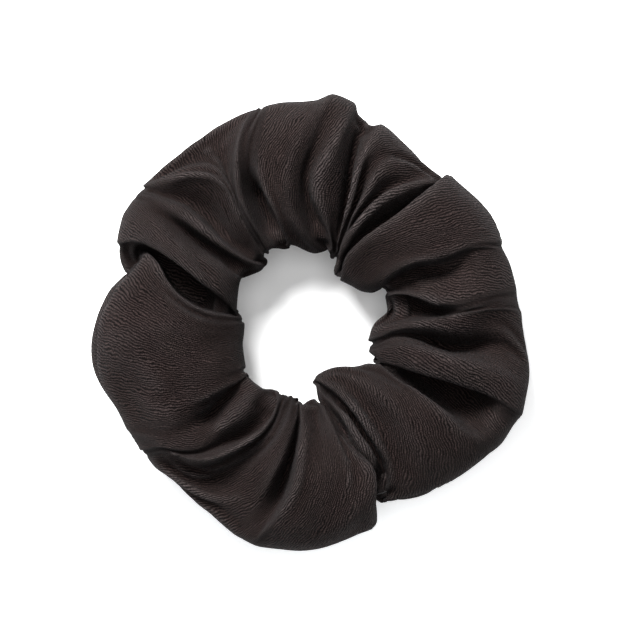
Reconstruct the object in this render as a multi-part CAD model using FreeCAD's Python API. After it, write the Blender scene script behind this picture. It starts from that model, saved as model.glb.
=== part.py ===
"""Scrunchie: a sewn cloth sleeve gathered onto a loop of braided elastic.

The ring lies flat, with its hole's axis on +Z and its resting face on z = 0. It is modelled as
two half rings, back (y > 0) and front (y < 0), which are pulled apart along Y when the scrunchie
is stretched open. All sizes are in millimetres, and all angles in degrees from +X towards +Y.
"""

import FreeCAD, Part
import math
import os

# Sleeve: the outer form of the gathered cloth
HOLE_RADIUS = 20.5
OVERALL_HEIGHT = 27.0
INNER_WALL_HEIGHT = 8.0
MID_HEIGHT = 13.0
WIDEST_RADIUS = 60.6
CREST_RADIUS = 38.0
REST_INNER_RADIUS = 31.0
REST_OUTER_RADIUS = 49.0
CLOTH_WALL = 0.8

# Each puff of the gathered edge, as (valley angle, valley radius, crest angle, crest radius)
PUFFS = [
    (0.0, 54.0, 24.0, 54.6),
    (47.0, 51.6, 65.0, 54.8),
    (74.0, 53.8, 85.0, 59.4),
    (97.0, 57.2, 107.0, 57.4),
    (117.0, 55.3, 138.0, 57.0),
    (164.0, 49.6, 184.0, 57.45),
    (212.0, 54.6, 219.0, 55.9),
    (230.0, 54.0, 262.0, 60.3),
    (289.0, 50.0, 341.0, 60.4),
]

# Lengthwise seam: the two cut edges turned inside, as one flange on the sleeve's outer wall
SEAM_ALLOWANCE = 6.0
ALLOWANCE_THICKNESS = 0.7
STITCH_LINE_INSET = 1.2

# Closing seam: the tube's two ends sewn flat together, outwards of the elastic
CLOSING_SEAM_ANGLE = 73.0
PINCH_START_RADIUS = 28.5
PINCH_HALF_WIDTH = 8.0
PINCH_WEB = 1.6
CLOSING_STITCHES = 8

# Elastic: a flat braided cover with rubber strands, its ends lapped and sewn
ELASTIC_RADIUS = 23.0
ELASTIC_WIDTH = 8.0
ELASTIC_THICKNESS = 1.2
COVER_WALL = 0.28
STRAND_COUNT = 8
STRAND_DIAMETER = 0.6
LAP_GAP = 0.1
LAP_START_ANGLE = 55.0
LAP_LENGTH = 15.0
JOIN_STITCHES = 5
JOIN_ROW_OFFSET = 2.0

# Sewing thread
THREAD_DIAMETER = 0.3
STITCH_LENGTH = 2.2
STITCH_PITCH = 2.5
THREAD_MEETING_GAP = 0.02

# Clearance between the two half rings, either side of y = 0
SPLIT_HALF_GAP = 0.15

UP = FreeCAD.Vector(0, 0, 1)
ORIGIN = FreeCAD.Vector(0, 0, 0)
LAP_STEP = ELASTIC_THICKNESS + LAP_GAP
BOX_REACH = 2 * WIDEST_RADIUS


def polar(radius, angle, z=0.0):
    """A point at this radius and angle about the hole's axis."""
    turn = math.radians(angle)
    return FreeCAD.Vector(radius * math.cos(turn), radius * math.sin(turn), z)


def face_of(edges):
    return Part.Face(Part.Wire(edges))


def arc(start, middle, end):
    return Part.Arc(start, middle, end).toShape()


def rounded(flat, end):
    """The arc that leaves flat horizontally and ends at end, both in the XZ plane."""
    across = end.x - flat.x
    rise = end.z - flat.z
    radius = (across**2 + rise**2) / (2 * abs(rise))
    half_turn = math.asin(min(1.0, abs(across) / radius)) / 2
    middle = FreeCAD.Vector(
        flat.x + math.copysign(radius * math.sin(half_turn), across),
        0,
        flat.z + math.copysign(radius * (1 - math.cos(half_turn)), rise),
    )
    return arc(flat, middle, end)


def sleeve_section(inset):
    """The ring's cross-section in the XZ plane, moved inwards by inset on every side."""

    def at(radius, z):
        return FreeCAD.Vector(radius, 0, z)

    wall_low = at(HOLE_RADIUS + inset, MID_HEIGHT - INNER_WALL_HEIGHT / 2)
    wall_high = at(HOLE_RADIUS + inset, MID_HEIGHT + INNER_WALL_HEIGHT / 2)
    crest = at(CREST_RADIUS, OVERALL_HEIGHT - inset)
    widest = at(WIDEST_RADIUS - inset, MID_HEIGHT)
    rest_out = at(REST_OUTER_RADIUS, inset)
    rest_in = at(REST_INNER_RADIUS, inset)
    return face_of(
        [
            Part.makeLine(wall_low, wall_high),
            rounded(crest, wall_high),
            rounded(crest, widest),
            rounded(rest_out, widest),
            Part.makeLine(rest_out, rest_in),
            rounded(rest_in, wall_low),
        ]
    )


def plan_wire(inset):
    """The gathered edge seen from above: one arc a puff, from valley to valley over its crest."""
    edges = []
    for number, puff in enumerate(PUFFS):
        following = PUFFS[(number + 1) % len(PUFFS)]
        start = polar(puff[1] - inset, puff[0])
        crest = polar(puff[3] - inset, puff[2])
        end = polar(following[1] - inset, following[0])
        edges.append(arc(start, crest, end))
    return Part.Wire(edges)


def plan_prism(inset, low, high):
    face = Part.Face(plan_wire(inset))
    face.translate(FreeCAD.Vector(0, 0, low))
    return face.extrude(FreeCAD.Vector(0, 0, high - low))


def pinch(allowance):
    """The two V-shaped valleys, above and below the closing seam, widened by allowance."""
    apex = PINCH_WEB / 2 - allowance
    opening = PINCH_HALF_WIDTH + allowance
    height = OVERALL_HEIGHT
    start = PINCH_START_RADIUS - allowance
    valleys = []
    for side in (1, -1):
        corners = [
            FreeCAD.Vector(start, -opening, MID_HEIGHT + side * height),
            FreeCAD.Vector(start, -allowance, MID_HEIGHT + side * apex),
            FreeCAD.Vector(start, allowance, MID_HEIGHT + side * apex),
            FreeCAD.Vector(start, opening, MID_HEIGHT + side * height),
        ]
        if allowance == 0:
            del corners[2]
        outline = Part.Face(Part.makePolygon(corners + corners[:1]))
        valley = outline.extrude(FreeCAD.Vector(BOX_REACH, 0, 0))
        valley.rotate(ORIGIN, UP, CLOSING_SEAM_ANGLE)
        valleys.append(valley)
    return valleys


def sleeve_form(inset):
    """The sleeve's gathered form as a solid, moved inwards by inset."""
    ring = sleeve_section(inset).revolve(ORIGIN, UP, 360)
    form = ring.common(plan_prism(inset, -1.0, OVERALL_HEIGHT + 1.0))
    for valley in pinch(inset):
        form = form.cut(valley)
    return form


def make_sleeve():
    """The hollow sleeve, with the lengthwise seam's allowance standing inside its outer wall."""
    shell = sleeve_form(0.0).cut(sleeve_form(CLOTH_WALL))
    low = MID_HEIGHT - ALLOWANCE_THICKNESS / 2
    high = MID_HEIGHT + ALLOWANCE_THICKNESS / 2
    within = plan_prism(CLOTH_WALL / 2, low, high)
    flange = within.cut(plan_prism(CLOTH_WALL + SEAM_ALLOWANCE, low, high))
    return shell.fuse(flange).removeSplitter()


def half_space(side):
    """A box over everything on one side of the split: 1 for the back, -1 for the front."""
    box = Part.makeBox(2 * BOX_REACH, BOX_REACH, 2 * BOX_REACH)
    box.translate(FreeCAD.Vector(-BOX_REACH, SPLIT_HALF_GAP, -BOX_REACH))
    if side < 0:
        box.rotate(ORIGIN, UP, 180)
    return box


def band_section(width, thickness):
    """A flat strip's section with round edges, standing upright at the elastic's radius."""
    half = thickness / 2
    straight = width / 2 - half

    def at(out, z):
        return FreeCAD.Vector(ELASTIC_RADIUS + out, 0, MID_HEIGHT + z)

    return face_of(
        [
            Part.makeLine(at(half, -straight), at(half, straight)),
            arc(at(half, straight), at(0, straight + half), at(-half, straight)),
            Part.makeLine(at(-half, straight), at(-half, -straight)),
            arc(at(-half, -straight), at(0, -straight - half), at(half, -straight)),
        ]
    )


def wind(section):
    """Carry a section once round the ring and on over its own start, one lap step further out.

    Three tangent arcs make the path: a half turn, a half turn about a centre half a step aside,
    and the lap itself. The section is drawn at the elastic's radius in the XZ plane.
    """
    lap_angle = math.degrees(LAP_LENGTH / (ELASTIC_RADIUS + LAP_STEP))
    half_step = LAP_STEP / 2
    runs = [
        (0.0, 0.0, LAP_START_ANGLE, 180.0),
        (half_step, half_step, LAP_START_ANGLE + 180.0, 180.0),
        (0.0, LAP_STEP, LAP_START_ANGLE, lap_angle),
    ]
    solids = []
    for centre_shift, growth, start_angle, sweep in runs:
        profile = section.copy()
        profile.translate(FreeCAD.Vector(growth, 0, 0))
        solid = profile.revolve(ORIGIN, UP, sweep)
        solid.rotate(ORIGIN, UP, start_angle)
        solid.translate(polar(centre_shift, LAP_START_ANGLE))
        solids.append(solid)
    return solids[0].fuse(solids[1:]).removeSplitter()


def make_elastic_cover():
    outside = wind(band_section(ELASTIC_WIDTH, ELASTIC_THICKNESS))
    inside = wind(band_section(ELASTIC_WIDTH - 2 * COVER_WALL, ELASTIC_THICKNESS - 2 * COVER_WALL))
    return outside.cut(inside)


def make_strands():
    """The rubber strands, side by side across the elastic's width."""
    room = ELASTIC_WIDTH - 2 * COVER_WALL - STRAND_DIAMETER - 0.3
    strands = []
    for number in range(STRAND_COUNT):
        z = MID_HEIGHT + room * (number / (STRAND_COUNT - 1) - 0.5)
        centre = FreeCAD.Vector(ELASTIC_RADIUS, 0, z)
        circle = Part.makeCircle(STRAND_DIAMETER / 2, centre, FreeCAD.Vector(0, 1, 0))
        strands.append(wind(face_of([circle])))
    return strands


def stitch(depth):
    """One stitch along +X, on a face at z = 0, with both its ends turned down into the cloth."""
    radius = THREAD_DIAMETER / 2
    bend = THREAD_DIAMETER
    half = STITCH_LENGTH / 2
    corner = bend * (1 - math.sqrt(0.5))

    def at(x, z):
        return FreeCAD.Vector(x, 0, z)

    path = Part.Wire(
        [
            Part.makeLine(at(-half, -depth), at(-half, radius - bend)),
            arc(at(-half, radius - bend), at(-half + corner, radius - corner), at(-half + bend, radius)),
            Part.makeLine(at(-half + bend, radius), at(half - bend, radius)),
            arc(at(half - bend, radius), at(half - corner, radius - corner), at(half, radius - bend)),
            Part.makeLine(at(half, radius - bend), at(half, -depth)),
        ]
    )
    end = Part.Wire([Part.makeCircle(radius, at(-half, -depth), UP)])
    return path.makePipeShell([end], True, False)


def placed(template, point, along, out):
    """A copy of the stitch at point, lying along one direction and standing out along another."""
    along = FreeCAD.Vector(along).normalize()
    out = FreeCAD.Vector(out).normalize()
    across = out.cross(along)
    turn = FreeCAD.Matrix(
        along.x, across.x, out.x, point.x,
        along.y, across.y, out.y, point.y,
        along.z, across.z, out.z, point.z,
        0, 0, 0, 1,
    )
    return template.transformed(turn, copy=True)


def tube_seam_stitches(side):
    """The lengthwise seam's stitches on one face of the allowance: 1 above, -1 below."""
    template = stitch(ALLOWANCE_THICKNESS / 2 - THREAD_MEETING_GAP)
    line = plan_wire(CLOTH_WALL + STITCH_LINE_INSET)
    count = int(line.Length / STITCH_PITCH)
    points = line.discretize(Number=count + 1)
    height = FreeCAD.Vector(0, 0, MID_HEIGHT + side * ALLOWANCE_THICKNESS / 2)
    stitches = []
    for start, end in zip(points, points[1:]):
        middle = (start + end) * 0.5 + height
        stitches.append(placed(template, middle, end - start, UP * side))
    return stitches


def closing_seam_stitches(side):
    """The closing seam's stitches, in a row outwards from the elastic: 1 above, -1 below."""
    template = stitch(PINCH_WEB / 2 - THREAD_MEETING_GAP)
    direction = polar(1.0, CLOSING_SEAM_ANGLE)
    stitches = []
    for number in range(CLOSING_STITCHES):
        radius = PINCH_START_RADIUS + 1.5 + (number + 0.5) * STITCH_PITCH
        point = polar(radius, CLOSING_SEAM_ANGLE, MID_HEIGHT + side * PINCH_WEB / 2)
        stitches.append(placed(template, point, direction, UP * side))
    return stitches


def elastic_join_stitches(side):
    """Two rows of stitches through the lapped ends: 1 on the outer face, -1 on the inner."""
    middle_radius = ELASTIC_RADIUS + LAP_STEP / 2
    half_stack = (2 * ELASTIC_THICKNESS + LAP_GAP) / 2
    template = stitch(half_stack - THREAD_MEETING_GAP)
    face_radius = middle_radius + side * half_stack
    pitch_angle = math.degrees(STITCH_PITCH / middle_radius)
    lap_middle = LAP_START_ANGLE + math.degrees(LAP_LENGTH / (2 * middle_radius))
    stitches = []
    for row in (-JOIN_ROW_OFFSET, JOIN_ROW_OFFSET):
        for number in range(JOIN_STITCHES):
            angle = lap_middle + (number - (JOIN_STITCHES - 1) / 2) * pitch_angle
            point = polar(face_radius, angle, MID_HEIGHT + row)
            stitches.append(placed(template, point, polar(1.0, angle + 90), polar(side, angle)))
    return stitches


def on_side(solids, side):
    """Those solids that lie wholly on one side of the split."""
    kept = []
    for solid in solids:
        box = solid.optimalBoundingBox(False)
        nearest = box.YMin if side > 0 else -box.YMax
        if nearest > SPLIT_HALF_GAP:
            kept.append(solid)
    return kept


def save(name, solids):
    shape = solids[0] if len(solids) == 1 else Part.makeCompound(solids)
    shape.exportStep(os.path.join("parts", name + ".step"))
    box = shape.optimalBoundingBox(False)
    print(
        f"{name}: {len(shape.Solids)} solids, {shape.Volume:.1f} mm3, valid {shape.isValid()}, "
        f"x {box.XMin:.2f}..{box.XMax:.2f}, y {box.YMin:.2f}..{box.YMax:.2f}, "
        f"z {box.ZMin:.2f}..{box.ZMax:.2f}"
    )


def main():
    os.makedirs("parts", exist_ok=True)
    sleeve = make_sleeve()
    cover = make_elastic_cover()
    strands = make_strands()
    seam_needle = tube_seam_stitches(1)
    seam_bobbin = tube_seam_stitches(-1)
    for half, side in (("back", 1), ("front", -1)):
        room = half_space(side)
        save("sleeve_" + half, sleeve.common(room).Solids)
        save("elastic_cover_" + half, cover.common(room).Solids)
        cut_strands = []
        for strand in strands:
            cut_strands.extend(strand.common(room).Solids)
        save("rubber_strands_" + half, cut_strands)
        save("tube_seam_needle_thread_" + half, on_side(seam_needle, side))
        save("tube_seam_bobbin_thread_" + half, on_side(seam_bobbin, side))
    save("closing_seam_needle_thread", closing_seam_stitches(1))
    save("closing_seam_bobbin_thread", closing_seam_stitches(-1))
    save("elastic_join_needle_thread", elastic_join_stitches(1))
    save("elastic_join_bobbin_thread", elastic_join_stitches(-1))


main()
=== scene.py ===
"""A black scrunchie lying flat: a gathered cotton sleeve on a sewn loop of braided elastic."""
import math

import bpy
import numpy as np
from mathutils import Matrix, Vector


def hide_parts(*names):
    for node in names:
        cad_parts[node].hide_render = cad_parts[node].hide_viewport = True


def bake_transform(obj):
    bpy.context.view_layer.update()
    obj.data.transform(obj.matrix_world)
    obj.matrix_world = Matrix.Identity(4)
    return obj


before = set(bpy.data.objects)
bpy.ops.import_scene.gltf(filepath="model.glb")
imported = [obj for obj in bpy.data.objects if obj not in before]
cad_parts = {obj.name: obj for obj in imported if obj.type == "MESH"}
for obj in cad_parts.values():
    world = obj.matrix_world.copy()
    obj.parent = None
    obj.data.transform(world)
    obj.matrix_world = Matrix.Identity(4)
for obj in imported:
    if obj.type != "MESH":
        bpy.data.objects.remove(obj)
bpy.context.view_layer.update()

MM = 0.001
SEED = 7

# The sleeve. Its cut strip has a seam allowance on each long edge.
TUBE_GIRTH = 0.102
SEAM_ALLOWANCE = 0.006
CLOTH_THICKNESS = 0.00034
MID_HEIGHT = 0.0125
TOP_RISE = 0.0138
BOTTOM_DROP = 0.0122

# The elastic and the sewing thread, as in the CAD model.
ELASTIC_RADIUS = 0.023
ELASTIC_MIDDLE = 0.013
ELASTIC_WIDTH = 0.008
ELASTIC_THICKNESS = 0.0012
COVER_WALL = 0.00028
STRAND_COUNT = 8
STRAND_DIAMETER = 0.0006
LAP_GAP = 0.0001
LAP_START_ANGLE = 55
LAP_LENGTH = 0.015
STRAND_ROOM = 0.0003
STITCH_PITCH = 0.0025
STITCH_INSET = 0.0012
THREAD_RADIUS = 0.00015

# How finely the elastic's line is drawn, how near the seam's middle a stitch's thread dips where
# it locks, and where in the stitch the dip starts.
ELASTIC_POINTS = 220
LOCK_LIFT = 0.00005
LOCK_START = 0.72

# The room that the cloth leaves round the elastic, whose lap reaches further out.
LAP_REACH = 0.0019
ELASTIC_CLEARANCE = 0.0006
ELASTIC_INSIDE = ELASTIC_RADIUS - ELASTIC_THICKNESS / 2 - ELASTIC_CLEARANCE
ELASTIC_OUTSIDE = ELASTIC_RADIUS + LAP_REACH + ELASTIC_CLEARANCE
ELASTIC_HIGH = ELASTIC_MIDDLE + ELASTIC_WIDTH / 2 + ELASTIC_CLEARANCE
ELASTIC_LOW = ELASTIC_MIDDLE - ELASTIC_WIDTH / 2 - ELASTIC_CLEARANCE

# Where the lengthwise seam lies, by the angle round the ring in degrees: how far over the
# outline onto the top, in millimetres of cloth. Below zero it is out of sight underneath.
SEAM_LINE = [(-180, 5.6), (-165, 4.8), (-150, 4.5), (-140, -3), (-72, -3), (-65, 4.6),
             (-54, 4.4), (-44, -3), (-12, -2), (0, 4), (20, 4.4), (34, -3), (112, -3),
             (121, 4.2), (130, -3), (164.5, -3), (168, 6.4), (174, 6.4), (180, 5.8)]
# The cloth beyond the seam drops by a step over the step's width, and rises again as it fades.
SEAM_STEP = 0.0021
SEAM_STEP_WIDTH = 0.0008
SEAM_FADE = 0.006

# The seam allowances: the room above them and how flat they lie, the height of one ply's two faces
# in cloth thicknesses, and a seam distance that keeps the seam band's painted shade off them.
ALLOWANCE_GAP = 2.2
ALLOWANCE_TILT = 0.3
PLY_FACES = (1.05, 0.05)
FAR_FROM_SEAM = 0.02

# The folds of the sleeve's upper side, counter-clockwise from the notch at the bottom right.
# Each runs from the outline to the hole: x and y in millimetres, then its height, from 0 for
# the ring's middle height to 1 for a puff's crest. The kinds: r a round ridge, s a soft
# hollow, v a sharp valley, e a crisp edge that hangs over its neighbour.
FOLDS = [
    # The deep valley at the bottom right, and the small ridge beside it.
    ("v", (18.5, -46, .3), (18.8, -39, .12), (15, -31.5, .12), (9.5, -23, .2),
     (4.6, -18.4, .3), (.9, -15.6, .6)),
    ("r", (20.5, -46.3, .62), (20.5, -38.5, .75), (16.5, -30, .85), (11, -21.5, .9),
     (5.8, -16.3, .9), (1.7, -14.1, .75)),
    ("s", (24, -46.2, .8), (22, -37, .82), (18.5, -29, .76), (13, -21, .7), (8.5, -15.5, .75),
     (4.8, -12.6, .7)),
    # The lower right puff, up to the deep hollow above it.
    ("r", (32, -43.5, .9), (28, -34, 1), (23, -25, 1), (17, -17, .98), (11, -11.5, .8)),
    ("r", (44, -35.5, .9), (38, -27.5, .95), (31, -21, .9), (24, -16, .85), (17, -10.8, .75)),
    ("s", (50, -31, .88), (46.5, -28, .9), (40, -23.8, 0), (34, -20.2, -.15),
     (27, -15.3, 0), (18.3, -10.8, .25)),
    ("s", (52.2, -27.4, .88), (47.4, -23.6, .8), (42, -19, -.1), (34, -15.8, -.25),
     (26, -13.2, -.1), (17.6, -10.3, .3)),
    # The right puff, with its crisp lower lip, its hollow and its nose.
    ("e", (55, -24, .88), (49, -20, .97), (42, -17.6, 1), (34, -14.6, 1.02), (26, -12.4, 1),
     (17.5, -10, .85)),
    ("r", (56.5, -17, .86), (48, -13.5, .97), (38, -11, 1.05), (30, -8.3, 1), (22, -6.5, .98),
     (15.2, -8, .8)),
    ("v", (56, -9, .75), (49, -6, .55), (42, -6.5, .2), (37, -7.8, .08), (31, -4.8, .2),
     (25, -3, .6), (16, -5.5, .85)),
    ("r", (54.8, -1, .8), (46, .5, .85), (38, -1.5, .9), (31, -.3, .95), (22, -1, .95),
     (15.3, -3.5, .8)),
    ("r", (54.5, 2, .85), (45, 3, .97), (37, .9, .95), (30, 1, .9), (22, .6, .8),
     (17, -.5, .7)),
    ("s", (54.4, 3.8, .87), (45, 3.6, .97), (38, 1.6, .95), (32, 1.7, .3), (26, 1.9, -.1),
     (21.4, 2, -.1)),
    ("s", (54.2, 5.6, .88), (45, 4.8, .99), (38, 2.4, .97), (33, 3, .3), (27, 4.9, -.1),
     (20.7, 6.1, -.1)),
    ("r", (53.5, 9.5, .9), (44, 7.5, 1.03), (34, 4.5, 1), (27, 6.2, 1.02), (20.2, 7.4, 1.1)),
    ("r", (52, 15, .9), (44, 13, .95), (35, 10, .75), (28, 9.5, .7), (19.6, 8.5, .6)),
    ("s", (50.5, 18.3, .92), (41, 17.6, .85), (35, 14.3, .4), (29, 13.6, .35), (24, 12.2, .4),
     (18.6, 9.2, .55)),
    # The upper right puff, and its crisp leading edge.
    ("r", (49.5, 21.5, .92), (41, 20.3, 1), (34, 16.5, 1.02), (28, 16, 1.02), (22, 13.5, 1),
     (16, 8, .85)),
    ("r", (44.5, 31, .9), (37, 26, 1), (28, 21.5, 1.03), (19, 16.5, 1), (12.5, 8, .85)),
    ("e", (36, 38, .9), (30, 33.4, 1), (22, 26.8, 1.05), (14, 21.5, 1.02), (9, 16.5, .9),
     (8, 10.8, .8)),
    ("v", (34.5, 35, .3), (28, 31, .12), (21, 26.5, .1), (15, 23, .15), (9.5, 18.5, .25),
     (7, 13, .3)),
    # The small puff at the top right, folded into three thin ridges.
    ("r", (33, 37.5, .55), (31, 36.6, .72), (25, 35.4, .8), (19.5, 33, .85), (13.5, 27.5, .82),
     (8.5, 20, .75), (6.6, 14, .6)),
    ("v", (30.5, 39.5, .5), (26, 36.8, .62), (20, 34.8, .55), (15.5, 31, .5), (10.5, 25, .45),
     (7.5, 18.5, .5)),
    ("r", (27, 43.5, .72), (21, 42.5, .88), (16.8, 38.5, .9), (14, 32.5, .85), (10.5, 26, .75),
     (7, 17.5, .6)),
    ("v", (23, 47, .78), (17, 43, .88), (13.2, 38.5, .6), (11.6, 33, .5), (9.5, 26, .45),
     (6.6, 17.5, .5)),
    ("r", (19, 51, .8), (15, 45, .95), (12.2, 39.5, .95), (10.7, 33, .85), (8.8, 26, .75),
     (6.3, 17.5, .6)),
    ("s", (14, 51.2, .5), (11.8, 46, .3), (10.7, 40, .3), (9.7, 33, .3), (8, 25, .3),
     (5.8, 17.5, .35)),
    # The top puff.
    ("s", (11.8, 55, .72), (9.9, 48.6, .8), (8, 41, .8), (6.5, 34, .75), (6.3, 26, .7),
     (5.6, 18, .5)),
    ("r", (11, 57, .85), (8.3, 50.5, 1.02), (5.2, 44.5, 1.08), (1.8, 39, 1.08), (.3, 34, 1.02),
     (2.8, 28, .95), (5, 21, .8), (5.2, 18, .6)),
    ("s", (6.5, 59.3, .9), (4, 51.5, .85), (1.3, 44, .7), (-1.5, 37, .62), (-.5, 31, .5),
     (2.3, 25, .15), (4.3, 20, .2)),
    ("r", (1.5, 58, .95), (-2, 50, 1.02), (-5.5, 42, 1.03), (-6.5, 35, 1), (-4.5, 27, .95),
     (-.5, 21, .85), (1, 18, .6)),
    ("r", (-7, 57, .95), (-9.5, 48, 1), (-12, 40, .97), (-9.5, 32, .97), (-6.5, 25, .92),
     (-4, 20, .7)),
    ("r", (-10.4, 56.4, .94), (-12.7, 47.2, 1), (-14.2, 39.4, .98), (-11.7, 33, 1),
     (-8.8, 26, .95), (-5.8, 20.7, .7)),
    ("s", (-13.2, 55.7, .93), (-15.8, 46.8, .99), (-16.3, 38.8, .8), (-12.9, 32.7, .15),
     (-9.8, 25.7, -.15), (-6.5, 20.8, .1)),
    ("r", (-15.5, 54.8, .92), (-18.5, 47.5, 1), (-19.3, 40, .95), (-18, 32, .95),
     (-14.5, 25, .9), (-11, 19.5, .7)),
    ("s", (-25, 50, .72), (-24, 46, .66), (-22.5, 42, .62), (-21, 36, .75), (-18.5, 29, .85),
     (-13.5, 21, .7), (-11.5, 18.3, .5)),
    # The upper left puff, with a thin ridge and an edge that hangs over the left puff.
    ("s", (-33, 44.5, .7), (-29, 42.5, .65), (-25.5, 40.5, .7), (-21.5, 36.5, .8),
     (-19, 30, .85), (-15, 22.5, .75), (-12, 18, .55)),
    ("r", (-42, 36.8, .8), (-37, 37.3, .9), (-30, 38.3, .93), (-23.5, 36.5, .9),
     (-20.5, 31, .85), (-16.5, 23.5, .8), (-12.5, 17.3, .6)),
    ("v", (-43.5, 34.8, .78), (-37, 32.3, .55), (-31, 30.5, .35), (-26, 26.5, .35),
     (-22, 21.5, .45), (-16, 17, .3), (-12.6, 15.8, .15)),
    ("r", (-45, 33.2, .82), (-38.5, 31, .88), (-32, 27, .92), (-25.5, 22, .92),
     (-19, 16.8, .85), (-13.5, 14.2, .6)),
    ("v", (-46.5, 31.3, .85), (-39.5, 28.5, .85), (-34, 24.8, .55), (-28, 20, .35),
     (-22.5, 16.2, .3), (-18, 12.5, .35)),
    ("r", (-49, 27, .88), (-44, 25.5, 1), (-37, 21, 1.08), (-29, 16, 1.05), (-23, 12.5, 1),
     (-18.7, 10, .75)),
    ("e", (-50.3, 21.3, .78), (-45.5, 21.4, .95), (-40, 19.1, 1.05), (-33, 14.2, 1.08),
     (-26.5, 9.4, 1.05), (-20.8, 4.2, .88), (-19.7, 2.2, .6)),
    ("v", (-48, 15.5, .2), (-43.4, 19.4, .1), (-39.4, 18.7, -.3), (-32, 14.2, -.5),
     (-26, 9.2, -.4), (-20.3, 2.6, 0)),
    ("v", (-47.2, 13.9, .2), (-42.6, 18.5, 0), (-38.8, 14.2, -.4), (-34.2, 8, -.55),
     (-28.8, 5, -.45), (-19.6, 1.8, .1)),
    # The left puff.
    ("e", (-46, 12.8, .6), (-41.8, 17.6, .85), (-38.6, 12.4, .92), (-34, 6.4, .95),
     (-28.5, 3.3, .95), (-18.5, 1, .78)),
    ("r", (-51.5, 8.5, .75), (-46, 9, .9), (-40, 7, .95), (-33, 2, 1), (-25, -.5, .95),
     (-18, -.5, .8)),
    ("r", (-57, -6, .82), (-49, -4.5, 1), (-38, -6, 1.06), (-27.5, -6.5, 1), (-17.6, -6, .85)),
    ("r", (-54.5, -17, .8), (-46, -15.8, .92), (-42, -15.5, 1.13), (-37.5, -15, 1.02),
     (-27, -13, 1), (-17.5, -11.5, .85)),
    ("r", (-51, -22.5, .8), (-45.5, -21, .88), (-40.6, -20.2, 1.14), (-36.5, -19.5, 1.02),
     (-28, -16.8, .98), (-17.8, -12.8, .8)),
    ("r", (-48.8, -26.5, .8), (-43.5, -25.8, .86), (-38.4, -24.8, 1.12), (-34.5, -23, 1),
     (-29, -20.5, .92), (-23.5, -17.5, .85), (-18, -14.2, .7)),
    # The crossed folds at the lower left.
    ("v", (-46.5, -30, .85), (-40, -29, .95), (-33, -28.5, .85), (-26, -25.5, .35),
     (-24.5, -21.5, .2), (-18, -15.3, .25)),
    ("r", (-44.6, -32.6, .8), (-38.4, -31.6, .95), (-32, -32.6, .88), (-26, -29.5, .62),
     (-20.5, -24, .85), (-16.3, -19, .94), (-13.8, -16.9, .75)),
    ("v", (-43.3, -34, .7), (-37.7, -32.7, .9), (-31.7, -34.6, .78), (-24.5, -32.6, .4),
     (-18, -29.4, .2), (-12.5, -26.2, .2), (-10.5, -21.5, .2), (-9.8, -19.3, .2)),
    ("e", (-42, -35, .75), (-37.2, -33.4, .97), (-32, -35.8, .97), (-26, -36.2, .95),
     (-19.5, -32.8, .88), (-13.5, -29.3, .85), (-9.5, -24, .8), (-8.5, -19, .7)),
    ("s", (-39.8, -37.2, .65), (-35, -37.4, .58), (-29, -38.6, .5), (-22, -36.3, .5),
     (-15.5, -32, .5), (-10, -26, .6), (-7.6, -19.3, .6)),
    ("s", (-33.5, -43, .62), (-29.5, -43.2, .5), (-24.5, -41.4, .36), (-19.5, -38, .4),
     (-14, -34.5, .55), (-9, -28, .7), (-6, -19.6, .6)),
    ("r", (-26.5, -49, .68), (-23, -47.4, .64), (-17.5, -44.6, .58), (-13.3, -39.5, .65),
     (-9.5, -32.5, .8), (-5.8, -25, .85), (-4.5, -19.9, .6)),
    ("r", (-20, -55, .72), (-17, -50, .68), (-13, -45, .68), (-9.5, -38.5, .8), (-6, -31, .82),
     (-4.3, -24.5, .75), (-4, -20.5, .5)),
    ("v", (-16, -57.5, .78), (-12.5, -53, .72), (-8, -46, .25), (-7, -41, .15), (-4.5, -33, .2),
     (-3.6, -26, .25), (-3.5, -21.5, .2)),
    # The bottom puff, and its crisp right edge, over the valley that comes first.
    ("r", (-12.5, -58.2, .8), (-8, -50.5, .95), (-4, -43, 1), (-2.3, -35, .97), (-1.8, -28, .92),
     (-2.2, -21.5, .7)),
    ("s", (-3, -59.3, .85), (1, -50, .98), (2.5, -40, 1), (2, -31, .9), (1.3, -25, .6),
     (.6, -21.2, .4)),
    ("r", (8, -57.2, .88), (9.5, -47.5, 1.04), (9, -38.5, 1.04), (6.5, -30, 1), (4, -24, .9),
     (2.3, -21, .7)),
    ("e", (16, -53, .7), (16.6, -45.5, .98), (16.8, -38, 1), (12, -34.8, .9), (8, -29.2, .85),
     (2.7, -21, .6)),
    ("v", (15.5, -46, .3), (15, -41, .35), (13.5, -37.2, .5), (10.5, -33, .5), (7.5, -27.5, .45),
     (2.5, -20.2, .45)),
    ("r", (15.5, -44, .3), (16, -39, .45), (15.8, -35, .9), (12, -29.5, .92), (7, -23, .88),
     (1.5, -17.6, .7)),
]

# The kinds of fold that the cloth crosses smoothly. It bends sharply at the others.
SMOOTH_KINDS = "rs"

# The designed shape: how blunt the tube's section is, how much of a fold's height its underside
# shares, and how much of the way between two folds is eased.
SECTION_POWER = 0.75
UNDERSIDE_SHARE = 0.5
HEIGHT_EASE = 0.75

# The cloth grid: across the folds, and around the tube. Both double as the cloth settles.
FIRST_STEP = 0.0051
FIRST_ROWS = 24
CRUMPLE_DEPTH = 0.0011
FIRST_NOISE = 0.00015
SECOND_NOISE = 0.00006

# The cloth's own lengths: shares of the designed length and girth, the least share of the
# tube's full girth, and the least and greatest shares of the grid's step.
COLUMN_EASE = 1.02
GIRTH_EASE = 1.01
LEAST_GIRTH = 0.9
SHORTEST_STEP, LONGEST_STEP = 0.15, 1.15

# The solver. Speed is capped at a share of the grid's step.
MOMENTUM = 0.9
TOP_SPEED = 0.3
STRETCH_STIFFNESS = 0.8
SHEAR_STIFFNESS = 0.3
BEND_STIFFNESS = 0.25
BEND_START = 0.97
PUSH_APART = 0.25
CROWDING = 0.35
FLOOR_GAP = 0.0003

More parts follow.
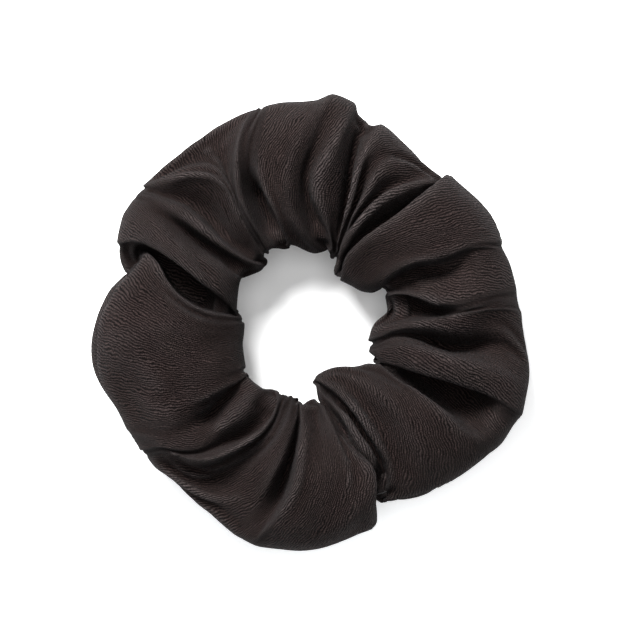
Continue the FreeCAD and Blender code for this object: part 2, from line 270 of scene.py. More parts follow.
# The tube's wall at the hole. Its shares are of the girth, from the tube's innermost row. The
# elastic's ring pulls the wall in from as far out as its reach, and the finest gathers are
# rounded off over the smoothed share.
WALL_SHARE = 0.07
WALL_REACH = 0.006
WALL_PULL = 0.5
SMOOTH_MIDDLE = 0.48
SMOOTH_SHARE = 0.17
SMOOTH_EDGE = 0.07
SMOOTH_STRENGTH = 0.6
SMOOTH_TURNS = 4


def fold_rings(rows):
    """One closed ring of points round the tube for each fold, from the outline over the top."""
    half = rows // 2
    s = np.linspace(0, 1, half + 1)
    t = (1 - np.cos(np.pi * s)) / 2
    swell = np.sin(np.pi * s) ** SECTION_POWER
    rings = []
    for _kind, *points in FOLDS:
        p = np.array(points)
        run = np.r_[0, np.cumsum(np.hypot(*np.diff(p[:, :2], axis=0).T))]
        run /= run[-1]
        k = np.clip(np.searchsorted(run, t, side="right") - 1, 0, len(run) - 2)
        w = (run[k + 1] - run[k])[:, None]
        q = (t - run[k])[:, None] / w
        slope = np.gradient(p, run, axis=0)
        line = (p[k] * (1 + 2 * q) * (1 - q) ** 2 + slope[k] * w * q * (1 - q) ** 2
                + p[k + 1] * q * q * (3 - 2 * q) + slope[k + 1] * w * q * q * (q - 1))
        x, y, h = line[:, 0] * MM, line[:, 1] * MM, line[:, 2]
        depth = 1 - UNDERSIDE_SHARE + UNDERSIDE_SHARE * h
        top = np.stack([x, y, MID_HEIGHT + h * TOP_RISE * swell], -1)
        under = np.stack([x, y, MID_HEIGHT - depth * BOTTOM_DROP * swell], -1)
        rings.append(np.concatenate([top, under[-2:0:-1]]))
    return np.array(rings)


def loft(step, rows):
    """The sleeve as designed, and the step of its cloth from column to column."""
    rings = fold_rings(rows)
    count = len(rings)
    kinds = [fold[0] for fold in FOLDS]
    gap = np.roll(rings, -1, 0) - rings
    length = np.linalg.norm(gap, axis=-1).mean(1)
    crest = slice(rows // 12, rows // 3)
    shape, steps = [], []
    for k in range(count):
        after, before = (k + 1) % count, k - 1
        a, b = rings[k], rings[after]
        la, lk, lb = length[before], length[k], length[after]
        ma = gap[k] if kinds[k] not in SMOOTH_KINDS else (
            (gap[before] * (lk / la) * lk + gap[k] * la) / (la + lk))
        mb = gap[k] if kinds[after] not in SMOOTH_KINDS else (
            (gap[k] * lb + gap[after] * (lk / lb) * lk) / (lk + lb))
        span = np.linalg.norm(gap[k], axis=1)
        n = max(1, round(float(span[crest].max()) * 1.03 / step))
        for i in range(n):
            q = i / n
            row = (a * (1 + 2 * q) * (1 - q) ** 2 + ma * q * (1 - q) ** 2
                   + b * q * q * (3 - 2 * q) + mb * q * q * (q - 1))
            round_a, round_b = kinds[k] in SMOOTH_KINDS, kinds[after] in SMOOTH_KINDS
            if round_a and round_b:
                e = q * q * (3 - 2 * q)
            elif round_a:
                e = 1 - math.cos(q * math.pi / 2)
            elif round_b:
                e = math.sin(q * math.pi / 2)
            else:
                e = q
            e = (1 - HEIGHT_EASE) * q + HEIGHT_EASE * e
            row[:, 2] = a[:, 2] * (1 - e) + b[:, 2] * e
            shape.append(row)
            steps.append(span / n)
    return np.array(shape), np.array(steps)


def pull(x, du, dv, rest, stiff, push_only=False):
    """Moves each pair of points, du columns and dv rows apart, towards its rest length."""
    d = np.roll(x, (-du, -dv), (0, 1)) - x
    length = np.sqrt((d * d).sum(-1)) + 1e-12
    c = (length - rest) / length
    if push_only:
        c = np.minimum(c, 0)
    c = (0.5 * stiff * c)[..., None] * d
    x += c
    x -= np.roll(c, (du, dv), (0, 1))


def keep_apart(x, distance, skip):
    """Pushes cloth points nearer than distance apart, unless they are neighbours in the cloth."""
    columns, rows = x.shape[:2]
    p = x.reshape(-1, 3)
    n = len(p)
    cell = np.floor(p / distance).astype(np.int64)
    cell -= cell.min(0) - 1
    dims = cell.max(0) + 3
    key = (cell[:, 0] * dims[1] + cell[:, 1]) * dims[2] + cell[:, 2]
    order = np.argsort(key, kind="stable")
    ordered = key[order]
    iu, iv = np.arange(n) // rows, np.arange(n) % rows
    moved, hits = np.zeros_like(p), np.zeros(n)
    around = [(a, b, c) for a in (-1, 0, 1) for b in (-1, 0, 1) for c in (-1, 0, 1)
              if (a, b, c) >= (0, 0, 0)]
    for a, b, c in around:
        other = key + (a * dims[1] + b) * dims[2] + c
        low = np.searchsorted(ordered, other, "left")
        high = np.searchsorted(ordered, other, "right")
        m = high - low
        total = int(m.sum())
        if total == 0:
            continue
        i = np.repeat(np.arange(n), m)
        j = order[np.arange(total) + np.repeat(low - np.r_[0, np.cumsum(m)[:-1]], m)]
        if (a, b, c) == (0, 0, 0):
            i, j = i[i < j], j[i < j]
        across, around_tube = np.abs(iu[i] - iu[j]), np.abs(iv[i] - iv[j])
        across = np.minimum(across, columns - across)
        around_tube = np.minimum(around_tube, rows - around_tube)
        far = (across > skip[0]) | (around_tube > skip[1])
        i, j = i[far], j[far]
        d = p[j] - p[i]
        length = np.sqrt((d * d).sum(1)) + 1e-9
        near = length < distance
        i, j, d, length = i[near], j[near], d[near], length[near]
        shift = (PUSH_APART * (distance - length) / length)[:, None] * d
        for axis in range(3):
            moved[:, axis] += (np.bincount(j, shift[:, axis], n)
                               - np.bincount(i, shift[:, axis], n))
        hits += np.bincount(j, minlength=n) + np.bincount(i, minlength=n)
    p += moved / np.maximum(hits * CROWDING, 1)[:, None]


def clear_elastic(x):
    """Holds the tube's inner wall inside the elastic's ring, and its top and underside off it."""
    rows = x.shape[1]
    r = np.hypot(x[..., 0], x[..., 1])
    z = x[..., 2]
    row = np.arange(rows) / rows
    wall = np.abs(row - 0.5) < WALL_SHARE
    inner = r > ELASTIC_INSIDE
    f = np.where(wall & inner & (r < ELASTIC_OUTSIDE + WALL_REACH), ELASTIC_INSIDE / r, 1)
    x[..., :2] *= (1 + WALL_PULL * (f - 1))[..., None]
    over = inner & (r < ELASTIC_OUTSIDE) & (z > ELASTIC_LOW) & (z < ELASTIC_HIGH)
    z[:] = np.where(over & (row <= 0.5 - WALL_SHARE), np.maximum(z, ELASTIC_HIGH), z)
    z[:] = np.where(over & (row >= 0.5 + WALL_SHARE), np.minimum(z, ELASTIC_LOW), z)


def even_out(x, goal, amount):
    """Smooths the cloth's drift from the designed shape, which keeps the designed creases."""
    drift = x - goal
    for axis in (0, 1):
        drift += amount * ((np.roll(drift, 1, axis) + np.roll(drift, -1, axis)) / 2 - drift)
    return goal + drift


def settle(x, goal, across, around, hold, even, turns, every, distance, skip):
    """Lets the cloth find its own lengths, across and around, near the designed shape. Every few
    turns, points nearer than distance are pushed apart."""
    before = x.copy()
    diagonal = np.sqrt(across ** 2 + around ** 2)
    most = TOP_SPEED * min(across.min(), around.min())
    for turn in range(turns):
        step = (x - before) * MOMENTUM
        before = x.copy()
        speed = np.sqrt((step ** 2).sum(-1, keepdims=True))
        x = x + step * np.minimum(1, most / (speed + 1e-12))
        x += hold * (goal - x)
        x = even_out(x, goal, even)
        for _ in range(2):
            pull(x, 1, 0, across, STRETCH_STIFFNESS)
            pull(x, 0, 1, around, STRETCH_STIFFNESS)
            pull(x, 1, 1, diagonal, SHEAR_STIFFNESS)
            pull(x, 1, -1, diagonal, SHEAR_STIFFNESS)
        pull(x, 2, 0, 2 * across * BEND_START, BEND_STIFFNESS, push_only=True)
        pull(x, 0, 2, 2 * around * BEND_START, BEND_STIFFNESS, push_only=True)
        if turn % every == every - 1:
            keep_apart(x, distance, skip)
        clear_elastic(x)
        np.maximum(x[..., 2], FLOOR_GAP, out=x[..., 2])
    return x


def smooth_wall(x):
    """Rounds the finest gathers off where the cloth turns in at the hole."""
    rows = x.shape[1]
    row = np.arange(rows) / rows
    share = np.clip((SMOOTH_SHARE - np.abs(row - SMOOTH_MIDDLE)) / SMOOTH_EDGE, 0, 1)
    share = share[None, :, None] * SMOOTH_STRENGTH
    for _ in range(SMOOTH_TURNS):
        x = x + share * ((np.roll(x, 1, 0) + np.roll(x, -1, 0)) / 2 - x)
    return x


def doubled(a, axis):
    """a with a new point between each pair along axis, on a smooth curve."""
    b = np.roll(a, -1, axis)
    middle = (9 * (a + b) - (np.roll(a, 1, axis) + np.roll(a, -2, axis))) / 16
    shape = a.shape[:axis] + (2 * a.shape[axis],) + a.shape[axis + 1:]
    return np.stack([a, middle], axis + 1).reshape(shape)


def normals(x):
    """Unit normals of the cloth, pointing out of the tube."""
    a = np.roll(x, -1, 0) - np.roll(x, 1, 0)
    b = np.roll(x, -1, 1) - np.roll(x, 1, 1)
    n = np.cross(a, b)
    return n / (np.linalg.norm(n, axis=-1, keepdims=True) + 1e-12)


def crumples(rng, x, steps):
    """Shallow dents all over the cloth, a few millimetres wide, as offsets of its points."""
    depth = rng.normal(0, CRUMPLE_DEPTH, x.shape[:2]) * np.minimum(1, steps / FIRST_STEP)
    for axis in (0, 1):
        depth = (2 * depth + np.roll(depth, 1, axis) + np.roll(depth, -1, axis)) / 4
    return depth[..., None] * normals(x)


def cloth_steps(designed, step):
    """The cloth's own length from column to column: a little more than the designed surface,
    and more again near the elastic, where the gathers are finest."""
    rows = designed.shape[1]
    row = np.arange(rows) / rows
    slack = np.interp(np.abs(row - 0.5), [0, 0.12, 0.28, 0.5], [0.1, 0.1, 0.05, 0.02])
    own = designed * COLUMN_EASE
    longer = own + slack * np.maximum(0, step - own)
    return np.clip(longer, SHORTEST_STEP * step, LONGEST_STEP * step)


def row_steps(goal):
    """The cloth's length from row to row. Low folds take some of the girth up unseen."""
    rows = goal.shape[1]
    girth = np.linalg.norm(np.roll(goal, -1, 1) - goal, axis=-1).sum(1)
    girth = np.clip(GIRTH_EASE * girth, LEAST_GIRTH * TUBE_GIRTH, TUBE_GIRTH)
    return np.repeat(girth[:, None] / rows, rows, 1)


def finer(x, goal, across, axis):
    """The cloth, its designed shape and its column steps, on a grid twice as fine along axis."""
    steps = across / 2 if axis == 0 else across
    return doubled(x, axis), doubled(goal, axis), np.repeat(steps, 2, axis)


def make_cloth():
    """The settled cloth, and its length from column to column."""
    rng = np.random.default_rng(SEED)
    x, steps = loft(FIRST_STEP, FIRST_ROWS)
    goal = x.copy()
    across = cloth_steps(steps, FIRST_STEP)
    x = x + rng.normal(0, FIRST_NOISE, x.shape)
    x = settle(x, goal, across, row_steps(goal), hold=0.14, even=0.4, turns=120, every=5,
               distance=0.0016, skip=(1, 1))

    dents = crumples(rng, x, steps)
    x, goal, across = finer(x + dents, goal + dents, across, 0)
    x = x + rng.normal(0, SECOND_NOISE, x.shape)
    x = settle(x, goal, across, row_steps(goal), hold=0.08, even=0.35, turns=90, every=5,
               distance=0.0014, skip=(2, 1))

    x, goal, across = finer(x, goal, across, 1)
    x = settle(x, goal, across, row_steps(goal), hold=0.05, even=0.25, turns=90, every=6,
               distance=0.0012, skip=(2, 2))

    x, goal, across = finer(x, goal, across, 0)
    x, goal, across = finer(x, goal, across, 1)
    x = settle(x, goal, across, row_steps(goal), hold=0.03, even=0.2, turns=60, every=8,
               distance=0.001, skip=(3, 2))
    return smooth_wall(x), across


# ---- materials -------------------------------------------------------------------------

# A wave texture's scale for lines one metre apart.
WAVE_SCALE = 0.3142
RIB_PITCH, RIB_TURN = 0.0008, -22
WARP_PITCH, WEFT_PITCH = 0.0005, 0.00046
RIB_WANDER = 0.0038
BRAID_PITCH, BRAID_TURN = 0.0009, 52
THREAD_TWIST = 0.0003
# Where the seam's painted shade and painted highlight lie, in metres from the seam line.
SEAM_BAND = (-0.005, 0.001)


def new_material(name):
    """An empty material, its Principled shader, and short ways to add and link nodes."""
    material = bpy.data.materials.new(name)
    material.use_nodes = True
    tree = material.node_tree
    shader = tree.nodes["Principled BSDF"]

    def node(kind, values=None, **settings):
        made = tree.nodes.new("ShaderNode" + kind)
        for key, value in settings.items():
            setattr(made, key, value)
        for key, value in (values or {}).items():
            made.inputs[key].default_value = value
        return made

    def link(source, output, target, socket):
        tree.links.new(source.outputs[output], target.inputs[socket])

    return material, shader, node, link


def ramp(node, stops):
    """A colour ramp with these (position, grey or colour) stops."""
    made = node("ValToRGB")
    elements = made.color_ramp.elements
    for _ in range(len(stops) - 2):
        elements.new(0.5)
    for element, (position, value) in zip(elements, stops):
        element.position = position
        colour = (value,) * 3 if isinstance(value, (int, float)) else value
        element.color = (*colour, 1)
    return made


def line_texture(node, link, source, pitch, turn):
    """A wave texture of lines pitch apart, turned by degrees in the source's coordinates."""
    place = node("Mapping", vector_type="TEXTURE")
    place.inputs["Rotation"].default_value = (0, 0, math.radians(turn))
    link(source, 0, place, "Vector")
    wave = node("TexWave", {"Scale": WAVE_SCALE / pitch, "Distortion": 0.0},
                bands_direction="X", wave_profile="SIN")
    link(place, 0, wave, "Vector")
    return wave


def cotton_material():
    """Black cotton with a fine slanting rib, painted a lighter grey on its crests as a painted
    highlight that also stands for a little wear, with lint.
    """
    material, shader, node, link = new_material("sleeve_cotton")
    uv = node("UVMap", uv_map="cloth")
    wander = node("TexNoise", {"Scale": 150.0, "Detail": 3.0, "Roughness": 0.62})
    link(uv, "UV", wander, "Vector")
    shift = node("VectorMath", operation="MULTIPLY_ADD")
    shift.inputs[1].default_value = (RIB_WANDER, RIB_WANDER, 0)
    link(wander, "Color", shift, 0)
    link(uv, "UV", shift, 2)

    rib = line_texture(node, link, shift, RIB_PITCH, RIB_TURN)
    warp_yarn = line_texture(node, link, shift, WARP_PITCH, 0)
    weft_yarn = line_texture(node, link, shift, WEFT_PITCH, 90)
    weave = node("Math", {1: 0.55, 2: 0.0}, operation="MULTIPLY_ADD")
    link(warp_yarn, "Fac", weave, 0)
    link(weft_yarn, "Fac", weave, 2)
    relief = node("Math", {1: 1.6}, operation="MULTIPLY_ADD")
    link(rib, "Fac", relief, 0)
    link(weave, 0, relief, 2)

    crumple = node("TexNoise", {"Scale": 420.0, "Detail": 4.0, "Roughness": 0.6})
    link(uv, "UV", crumple, "Vector")
    first = node("Bump", {"Strength": 0.55, "Distance": 0.00022})
    link(crumple, "Fac", first, "Height")
    second = node("Bump", {"Strength": 0.9, "Distance": 0.00012})
    link(relief, 0, second, "Height")
    link(first, "Normal", second, "Normal")
    link(second, "Normal", shader, "Normal")

    cloudy = node("TexNoise", {"Scale": 60.0, "Detail": 5.0, "Roughness": 0.62})
    link(uv, "UV", cloudy, "Vector")
    base = ramp(node, [(0.3, (0.0108, 0.0072, 0.0066)), (0.7, (0.0172, 0.0117, 0.0109))])
    link(cloudy, "Fac", base, "Fac")

    # Painted highlight: the crests, picked out by the mesh's pointiness, are painted a lighter
    # grey that stands for light on them as well as a little wear.
    crest_shape = node("NewGeometry")
    crest = ramp(node, [(0.5, 0.0), (0.62, 1.0)])
    link(crest_shape, "Pointiness", crest, "Fac")
    grey = node("Mix", data_type="RGBA")
    grey.inputs[7].default_value = (0.036, 0.0302, 0.0296, 1)
    link(crest, "Color", grey, 0)
    link(base, "Color", grey, 6)

    patches = node("TexNoise", {"Scale": 260.0, "Detail": 3.0, "Roughness": 0.6})
    link(uv, "UV", patches, "Vector")
    strength = ramp(node, [(0.32, 0.45), (0.52, 1.0)])
    link(patches, "Fac", strength, "Fac")
    shade = ramp(node, [(0.0, 0.1), (1.0, 1.8)])
    link(rib, "Fac", shade, "Fac")
    lined = node("Mix", data_type="RGBA", blend_type="MULTIPLY")
    link(strength, "Color", lined, 0)
    link(grey, 2, lined, 6)
    link(shade, "Color", lined, 7)

    grain = node("TexNoise", {"Scale": 2300.0, "Detail": 2.0, "Roughness": 0.7})
    link(uv, "UV", grain, "Vector")
    fleck = ramp(node, [(0.3, 0.4), (0.7, 1.6)])
    link(grain, "Fac", fleck, "Fac")
    grained = node("Mix", {0: 1.0}, data_type="RGBA", blend_type="MULTIPLY")
    link(lined, 2, grained, 6)
    link(fleck, "Color", grained, 7)

    # Painted shade along the seam: the cloth just beyond the seam line, where it steps down, is
    # painted darker, darkest near the seam, and a thin strip just past the seam is painted lighter
    # as a painted highlight on the step's edge.
    beside = node("UVMap", uv_map="seam")
    parts = node("SeparateXYZ")
    link(beside, "UV", parts, 0)
    off = node("MapRange", {"From Min": SEAM_BAND[0], "From Max": SEAM_BAND[1]})
    link(parts, "Y", off, "Value")
    seam_shade = ramp(node, [(0.0, 1.0), (0.5, 0.6), (0.8, 0.4), (0.86, 0.3), (0.92, 1.3),
                         (1.0, 1.0)])
    link(off, 0, seam_shade, "Fac")
    seam_shaded = node("Mix", {0: 1.0}, data_type="RGBA", blend_type="MULTIPLY")
    link(grained, 2, seam_shaded, 6)
    link(seam_shade, "Color", seam_shaded, 7)

    lint = node("TexVoronoi", {"Scale": 95.0, "Randomness": 1.0})
    link(uv, "UV", lint, "Vector")
    speck = ramp(node, [(0.0, 1.0), (0.022, 0.0)])
    link(lint, "Distance", speck, "Fac")
    linted = node("Mix", data_type="RGBA")
    linted.inputs[7].default_value = (0.11, 0.105, 0.1, 1)
    link(speck, "Color", linted, 0)
    link(seam_shaded, 2, linted, 6)
    link(linted, 2, shader, "Base Color")

    shader.inputs["Roughness"].default_value = 0.86
    shader.inputs["Specular IOR Level"].default_value = 0.06
    shader.inputs["Sheen Weight"].default_value = 0.022
    shader.inputs["Sheen Roughness"].default_value = 0.3
    shader.inputs["Sheen Tint"].default_value = (0.72, 0.76, 0.8, 1)
    return material


def braid_material():
    """White braided elastic, its yarns crossing both ways."""
    material, shader, node, link = new_material("elastic_braid")
    uv = node("UVMap", uv_map="cloth")
    one_way = line_texture(node, link, uv, BRAID_PITCH, BRAID_TURN)
    other_way = line_texture(node, link, uv, BRAID_PITCH, -BRAID_TURN)
    crossing = node("Math", operation="MAXIMUM")
    link(one_way, "Fac", crossing, 0)
    link(other_way, "Fac", crossing, 1)
    bump = node("Bump", {"Strength": 0.9, "Distance": 0.0002})
    link(crossing, 0, bump, "Height")
    link(bump, "Normal", shader, "Normal")
    tone = ramp(node, [(0.2, (0.35, 0.34, 0.32)), (0.9, (0.72, 0.71, 0.68))])
    link(crossing, 0, tone, "Fac")
    link(tone, "Color", shader, "Base Color")
    shader.inputs["Roughness"].default_value = 0.7
    return material


def rubber_material():
    """Pale rubber, a little dusty."""
    material, shader, node, link = new_material("elastic_rubber")
    place = node("TexCoord")
    dust = node("TexNoise", {"Scale": 900.0, "Detail": 3.0, "Roughness": 0.6})
    link(place, "Object", dust, "Vector")
    tone = ramp(node, [(0.3, (0.5, 0.42, 0.3)), (0.7, (0.66, 0.58, 0.45))])
    link(dust, "Fac", tone, "Fac")
    link(tone, "Color", shader, "Base Color")
    bump = node("Bump", {"Strength": 0.3, "Distance": 0.00005})
    link(dust, "Fac", bump, "Height")
    link(bump, "Normal", shader, "Normal")
    shader.inputs["Roughness"].default_value = 0.55
    return material


def thread_material(name, dark, light):
    """Spun polyester thread with a twist."""
    material, shader, node, link = new_material(name)
    place = node("TexCoord")
    twist = node("TexWave", {"Scale": WAVE_SCALE / THREAD_TWIST, "Distortion": 1.5, "Detail": 1.0},
                 bands_direction="DIAGONAL", wave_profile="SIN")
    link(place, "Object", twist, "Vector")
    tone = ramp(node, [(0.0, dark), (1.0, light)])
    link(twist, "Fac", tone, "Fac")
    link(tone, "Color", shader, "Base Color")
    bump = node("Bump", {"Strength": 0.7, "Distance": 0.00006})
    link(twist, "Fac", bump, "Height")
    link(bump, "Normal", shader, "Normal")
    shader.inputs["Roughness"].default_value = 0.6
    shader.inputs["Sheen Weight"].default_value = 0.2
    return material


# ---- pieces ----------------------------------------------------------------------------

def new_piece(name, material, parts):
    """A smooth mesh of several parts, each a tuple of points, faces and UV maps by name."""
    points, faces, maps, count = [], [], {}, 0
    for part_points, part_faces, part_maps in parts:
        points.append(part_points)
        faces += [tuple(int(corner) + count for corner in face) for face in part_faces]
        count += len(part_points)
        for key, values in part_maps.items():
            maps.setdefault(key, []).append(values)
    mesh = bpy.data.meshes.new(name)
    mesh.from_pydata(np.concatenate(points).tolist(), [], faces)
    mesh.polygons.foreach_set("use_smooth", [True] * len(mesh.polygons))
    for key, values in maps.items():
        layer = mesh.uv_layers.new(name=key)
        layer.data.foreach_set("uv", np.concatenate(values).astype(np.float32).ravel())
    mesh.materials.append(material)
    mesh.update()
    piece = bpy.data.objects.new(name, mesh)
    bpy.context.scene.collection.objects.link(piece)
    return piece


def corner_values(u, v):
    """UVs for the corners of a grid's quads, from one more column and row than it has quads."""
    c = np.stack([u, v], -1)
    return np.stack([c[:-1, :-1], c[1:, :-1], c[1:, 1:], c[:-1, 1:]], 2).reshape(-1, 2)


def skin(points, lengths, widths, maps=None, loop=True):
    """A tube's skin: its points by column and row, with the cloth's lengths along and across.
    A tube that isn't a loop is capped at both ends."""
    columns, rows = points.shape[:2]
    index = np.arange(columns * rows).reshape(columns, rows)
    a = index if loop else index[:-1]
    b = np.roll(index, -1, 0) if loop else index[1:]
    quads = np.stack([a, b, np.roll(b, -1, 1), np.roll(a, -1, 1)], -1).reshape(-1, 4)
    faces = quads.tolist()
    u, v = np.meshgrid(lengths, widths, indexing="ij")
    uvs = {"cloth": corner_values(u, v)}
    for key, shift in (maps or {}).items():
        uvs[key] = corner_values(u, v - shift[:, None])
    if not loop:
        faces += [index[0, ::-1].tolist(), index[-1].tolist()]
        for key in uvs:
            uvs[key] = np.concatenate([uvs[key], np.zeros((2 * rows, 2))])
    return points.reshape(-1, 3), faces, uvs


def running_length(points, loop=True):
    """The length along a line of points, and for a loop once more at its end."""
    ends = np.concatenate([points, points[:1]]) if loop else points
    return np.r_[0, np.cumsum(np.linalg.norm(np.diff(ends, axis=0), axis=1))]


def tube(line, out, across, section, loop=True):
    """A section's outline carried along a line; out and across are the section's two axes."""
    x, y = section.T
    points = (line[:, None] + out[:, None] * x[None, :, None] + across[:, None] * y[None, :, None])
    around = running_length(np.c_[section, np.zeros(len(section))])
    return skin(points, running_length(line, loop), around, loop=loop)


def circle(radius, sides):
    """A round section's outline."""
    turn = np.arange(sides) / sides * 2 * np.pi
    return radius * np.stack([np.cos(turn), np.sin(turn)], -1)


def oblong(width, thickness, sides=6):
    """A flat strip's section with round edges, its width along the second axis."""
    r = thickness / 2
    turn = np.linspace(0, np.pi, sides)
    end = np.stack([r * np.cos(turn), r * np.sin(turn) + width / 2 - r], -1)
    return np.concatenate([end, -end])


def across_joint(piece):
    """Bakes the piece's transform into its mesh."""
    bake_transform(piece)


def unit(v):
    """The vectors at length one."""
    return v / (np.linalg.norm(v, axis=-1, keepdims=True) + 1e-12)


def wrapped_smooth(values, reach):
    """A moving average round a closed line, reach points to each side."""
    total = sum(np.roll(values, k, 0) for k in range(-reach, reach + 1))
    return total / (2 * reach + 1)


def seam_places(cloth):
    """The seam's distance over the outline for each column of the cloth, in metres."""
    edge = cloth[:, 0]
    angle = np.degrees(np.arctan2(edge[:, 1], edge[:, 0]))
    stops = np.array(SEAM_LINE, float)
    return wrapped_smooth(np.interp(angle, stops[:, 0], stops[:, 1]) * MM, 5)


def with_seam_step(cloth, seam):
    """The cloth with a step down beyond the seam, which stands out more than a real one."""
    rows = cloth.shape[1]
    v = np.arange(rows) / rows * TUBE_GIRTH
    v = np.where(v > TUBE_GIRTH / 2, v - TUBE_GIRTH, v)
    past = seam[:, None] - v[None]
    drop = np.clip(past / SEAM_STEP_WIDTH + 0.5, 0, 1) * np.clip(1 - past / SEAM_FADE, 0, 1)
    return cloth - normals(cloth) * (SEAM_STEP * drop)[..., None]


def on_seam(values, seam):
    """The cloth's values on the seam line, one for each column."""
    columns, rows = values.shape[:2]
    row = seam / TUBE_GIRTH * rows
    whole = np.floor(row).astype(int)
    part = (row - whole)[:, None]
    column = np.arange(columns)
    return (values[column, whole % rows] * (1 - part)
            + values[column, (whole + 1) % rows] * part)


def allowance_frame(cloth, seam):
    """The allowances stand inside the tube: where they start on the seam line, the way in
    towards the tube's middle, and the way up through their plies."""
    start = on_seam(cloth - normals(cloth) * ALLOWANCE_GAP * CLOTH_THICKNESS, seam)
    start = wrapped_smooth(start, 1)
    inwards = wrapped_smooth(cloth.mean(1), 6) - wrapped_smooth(start, 6)
    inwards[:, 2] *= ALLOWANCE_TILT
    inwards = unit(inwards)
    smooth = wrapped_smooth(start, 3)
    along = unit(np.roll(smooth, -1, 0) - np.roll(smooth, 1, 0))
    up = unit(np.cross(inwards, along))
    up *= np.where(up[:, 2:] < 0, -1, 1)
    return start, inwards, up


def make_sleeve(cloth, cloth_across):
    """The cloth as a skin of its real thickness, and its two seam allowances inside."""
    columns, rows = cloth.shape[:2]
    seam = seam_places(cloth)
    cloth = with_seam_step(cloth, seam)
    cloth[..., 2] = np.maximum(cloth[..., 2], 2 * CLOTH_THICKNESS)
    lengths = np.r_[0, np.cumsum(cloth_across.max(1))]
    widths = np.arange(rows + 1) / rows * TUBE_GIRTH
    seam_ends = np.r_[seam, seam[:1]]
    outside = skin(cloth, lengths, widths, {"seam": seam_ends})
    lining = (cloth - normals(cloth) * CLOTH_THICKNESS)[::-1]
    inside = skin(lining, lengths[::-1], widths, {"seam": seam_ends[::-1]})
    parts = [outside, inside]
    start, inwards, up = allowance_frame(cloth, seam)
    every = slice(None, None, 2)
    flap_lengths = np.r_[lengths[:-1][every], lengths[-1]]
    flap_seam = np.full(len(flap_lengths), FAR_FROM_SEAM)
    for side in (1, -1):
        depth = np.array([0, 0.35, 0.7, 1, 1, 0.7, 0.35, 0]) * SEAM_ALLOWANCE
        height = np.repeat(PLY_FACES, 4) * CLOTH_THICKNESS * side
        if side < 0:
            depth, height = depth[::-1], height[::-1]
        points = (start[every, None] + inwards[every, None] * depth[None, :, None]
                  + up[every, None] * height[None, :, None])
        flap_widths = np.r_[depth, depth[:1]]
        parts.append(skin(points, flap_lengths, flap_widths, {"seam": flap_seam}))
    sleeve = new_piece("cotton_sleeve", cotton_material(), parts)
    across_joint(sleeve)
    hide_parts("sleeve_back", "sleeve_front")
    return cloth, seam


def make_seam_threads(cloth, seam, material):
    """The lengthwise seam's needle thread and bobbin thread, one on each face of the
    allowances, dipping into the cloth where they lock at the end of each stitch."""
    start, inwards, up = allowance_frame(cloth, seam)
    line = start + inwards * STITCH_INSET
    length = running_length(line)
    stitches = round(length[-1] / STITCH_PITCH)
    points_each = 8
    at = np.arange(stitches * points_each) / points_each
    place = at / stitches * length[-1]
    columns = np.arange(len(line) + 1)
    column = np.interp(place, length, columns)
    whole = np.floor(column).astype(int)
    part = (column - whole)[:, None]

    def between(values):
        return values[whole % len(line)] * (1 - part) + values[(whole + 1) % len(line)] * part

    phase = np.abs(at % 1 - 0.5) * 2
    dip = np.clip((phase - LOCK_START) / (1 - LOCK_START), 0, 1) ** 2
    names = (("seam_needle_thread", 1, "tube_seam_needle_thread"),
             ("seam_bobbin_thread", -1, "tube_seam_bobbin_thread"))
    for name, side, node in names:
        lift = PLY_FACES[0] * CLOTH_THICKNESS + THREAD_RADIUS
        path = between(line) + between(up) * (side * (lift - dip * (lift - LOCK_LIFT)))[:, None]
        out, across = between(up) * side, between(inwards) * side
        thread = new_piece(name, material,
                           [tube(path, out, across, circle(THREAD_RADIUS, 6))])
        across_joint(thread)
        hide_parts(node + "_back", node + "_front")


def elastic_path():
    """The elastic's line: once round the ring, then on outside its own start for the lap."""
    lap_step = ELASTIC_THICKNESS + LAP_GAP
    lap = LAP_LENGTH / (ELASTIC_RADIUS + lap_step)
    turn = np.linspace(0, 2 * np.pi + lap, ELASTIC_POINTS)
    ease = np.clip((turn - np.pi) / np.pi, 0, 1)
    radius = ELASTIC_RADIUS + lap_step * ease * ease * (3 - 2 * ease)
    angle = turn + math.radians(LAP_START_ANGLE)
    out = np.stack([np.cos(angle), np.sin(angle), 0 * angle], -1)
    line = out * radius[:, None] + np.array([0, 0, ELASTIC_MIDDLE])
    return line, out, np.broadcast_to(np.array([0, 0, 1.0]), line.shape)


def make_elastic():
    """The elastic's braided cover, hollow, and the rubber strands side by side inside it."""
    line, out, up = elastic_path()
    shell = tube(line, out, up, oblong(ELASTIC_WIDTH, ELASTIC_THICKNESS), loop=False)
    line, out, up = line[1:-1], out[1:-1], up[1:-1]
    inside = oblong(ELASTIC_WIDTH - 2 * COVER_WALL, ELASTIC_THICKNESS - 2 * COVER_WALL)
    lining = tube(line, out, up, inside[::-1], loop=False)
    cover = new_piece("braided_cover", braid_material(), [shell, lining])
    across_joint(cover)
    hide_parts("elastic_cover_back", "elastic_cover_front")

    room = ELASTIC_WIDTH - 2 * COVER_WALL - STRAND_DIAMETER - STRAND_ROOM
    strands = []
    line, out, up = line[1:-1], out[1:-1], up[1:-1]
    for number in range(STRAND_COUNT):
        shift = np.array([0, 0, room * (number / (STRAND_COUNT - 1) - 0.5)])
        strands.append(tube(line + shift, out, up, circle(STRAND_DIAMETER / 2, 8), loop=False))
    rubber = new_piece("rubber_strands", rubber_material(), strands)
    across_joint(rubber)
    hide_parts("rubber_strands_back", "rubber_strands_front")


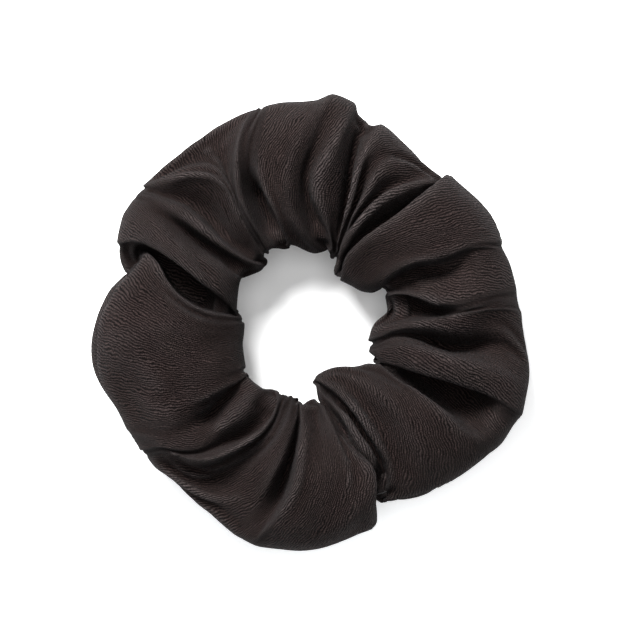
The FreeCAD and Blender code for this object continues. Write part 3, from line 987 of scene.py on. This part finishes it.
cloth, cloth_across = make_cloth()
cloth, seam_line = make_sleeve(cloth, cloth_across)
make_elastic()
seam_thread = thread_material("seam_thread", (0.012, 0.011, 0.012), (0.035, 0.033, 0.034))
join_thread = thread_material("join_thread", (0.45, 0.44, 0.42), (0.75, 0.74, 0.71))
make_seam_threads(cloth, seam_line, seam_thread)
for seam, material in (("closing_seam", seam_thread), ("elastic_join", join_thread)):
    for strand in ("needle", "bobbin"):
        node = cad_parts[f"{seam}_{strand}_thread"]
        for slot in node.material_slots:
            slot.material = material
        if not node.material_slots:
            node.data.materials.append(material)


# ---- floor, light and camera -----------------------------------------------------------

FLOOR_HALF = 3


def make_floor():
    """A pale floor that glows with painted light, and is painted dimmer near the ring as painted
    shade, for a bright backdrop.
    """
    a, b = -FLOOR_HALF, FLOOR_HALF
    mesh = bpy.data.meshes.new("floor")
    mesh.from_pydata([(a, a, 0), (b, a, 0), (b, b, 0), (a, b, 0)], [], [(0, 1, 2, 3)])
    material, shader, node, link = new_material("pale_floor")
    shader.inputs["Base Color"].default_value = (0.9, 0.9, 0.9, 1)
    shader.inputs["Roughness"].default_value = 0.9
    shader.inputs["Emission Color"].default_value = (1, 1, 1, 1)
    place = node("TexCoord")
    from_middle = node("VectorMath", operation="LENGTH")
    link(place, "Object", from_middle, 0)
    # Painted light and shade: the floor glows dimly within 22 mm of the ring's middle, brightening
    # to its full glow by 60 mm out.
    painted_glow = node("MapRange", {"From Min": 0.022, "From Max": 0.06, "To Min": 0.12,
                             "To Max": 0.6}, interpolation_type="SMOOTHSTEP")
    link(from_middle, "Value", painted_glow, "Value")
    link(painted_glow, 0, shader, "Emission Strength")
    mesh.materials.append(material)
    floor = bpy.data.objects.new("floor", mesh)
    bpy.context.scene.collection.objects.link(floor)


def make_light(name, place, size, energy, colour=(1, 1, 1)):
    """A square area light that points at the middle of the ring."""
    light = bpy.data.lights.new(name, "AREA")
    light.color = colour
    light.size = size
    light.energy = energy
    lamp = bpy.data.objects.new(name, light)
    lamp.location = place
    lamp.rotation_euler = Vector(place).to_track_quat("Z", "Y").to_euler()
    bpy.context.scene.collection.objects.link(lamp)


make_floor()
make_light("key", (-0.3, 0.65, 0.75), 0.4, 29)
make_light("overhead", (0.0, 0.05, 1.2), 0.8, 6)
make_light("left_fill", (-0.75, -0.4, 0.28), 0.3, 3.6, (0.85, 0.94, 1))
make_light("right_fill", (0.85, 0.3, 0.22), 0.3, 2, (0.85, 0.94, 1))

scene = bpy.context.scene
world = bpy.data.worlds.new("studio")
world.use_nodes = True
world.node_tree.nodes["Background"].inputs["Color"].default_value = (1, 1, 1, 1)
world.node_tree.nodes["Background"].inputs["Strength"].default_value = 0.06
scene.world = world

VIEW_WIDTH = 0.1664
VIEW_CENTRE = (0.0023, 0.0005)
OUTLINE_HEIGHT = 0.0135
CAMERA_HEIGHT = 0.9
SENSOR_WIDTH = 36
camera_data = bpy.data.cameras.new("camera")
camera_data.sensor_width = SENSOR_WIDTH
camera_data.lens = SENSOR_WIDTH * (CAMERA_HEIGHT - OUTLINE_HEIGHT) / VIEW_WIDTH
camera_data.clip_start = 0.01
camera = bpy.data.objects.new("camera", camera_data)
camera.location = (*VIEW_CENTRE, CAMERA_HEIGHT)
scene.collection.objects.link(camera)
scene.camera = camera
scene.view_settings.view_transform = "Standard"

bpy.context.view_layer.update()
